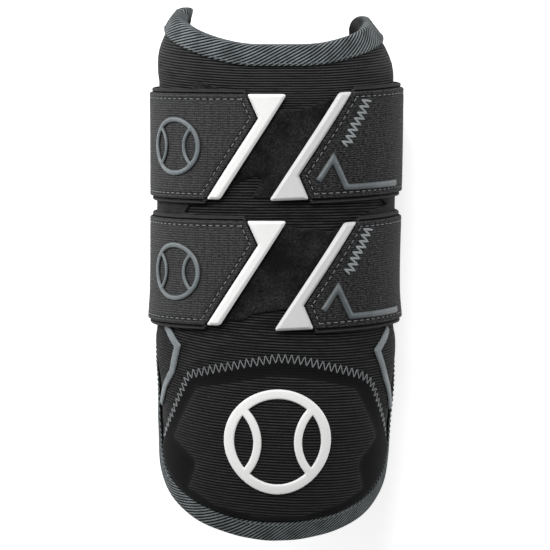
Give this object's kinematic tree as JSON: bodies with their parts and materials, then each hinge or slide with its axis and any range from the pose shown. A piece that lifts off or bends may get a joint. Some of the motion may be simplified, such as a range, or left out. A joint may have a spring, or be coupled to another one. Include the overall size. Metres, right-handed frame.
{
  "type": "baseball elbow guard",
  "caption": "Padded elbow guard for batting: a curved ribbed-fabric shell with bound edges, a raised elbow cap, and two wide hook-and-loop straps that close over the front.",
  "frame": {"origin": "middle of the guard's box in X and Y, at the underside of the two straps' flat back spans, which is the surface that it lies on", "axes": "+Z out of the front of the guard, +Y along the arm towards the upper-arm end, +X to the right as seen from the front"},
  "size_m": [0.1147, 0.2368, 0.0912],
  "materials": {
    "ribbed_fabric": "black corded fabric, ribs across the arm",
    "lining": "smooth dark lining",
    "edge_tape": "slate-grey twill tape",
    "loop_fabric": "black brushed loop",
    "cap_fabric": "black corded fabric over foam, light-grey seam",
    "white_rubber": "white moulded rubber, satin",
    "grey_rubber": "slate-grey moulded rubber, satin",
    "grey_film": "slate-grey rubber film, matt",
    "strap_elastic": "black ribbed elastic",
    "tab_weave": "charcoal plain weave with light-grey topstitch",
    "tab_elastic": "black ribbed elastic with light-grey topstitch"
  },
  "bodies": {
    "root": {"pad_shell": "ribbed_fabric", "liner": "lining", "edge_binding": "edge_tape", "loop_panel": "loop_fabric", "elbow_cap": "cap_fabric", "cap_emblem": "white_rubber", "side_stripe_left": "grey_film", "side_stripe_right": "grey_film", "upper_strap_band": "strap_elastic", "upper_left_panel": "tab_weave", "upper_left_trim": "white_rubber", "upper_right_panel": "tab_elastic", "upper_right_trim": "white_rubber", "upper_strap_emblem": "grey_rubber", "upper_accent_line": "grey_rubber", "lower_strap_band": "strap_elastic", "lower_left_panel": "tab_weave", "lower_left_trim": "white_rubber", "lower_right_panel": "tab_elastic", "lower_right_trim": "white_rubber", "lower_strap_emblem": "grey_rubber", "lower_accent_line": "grey_rubber"}
  },
  "joints": []
}
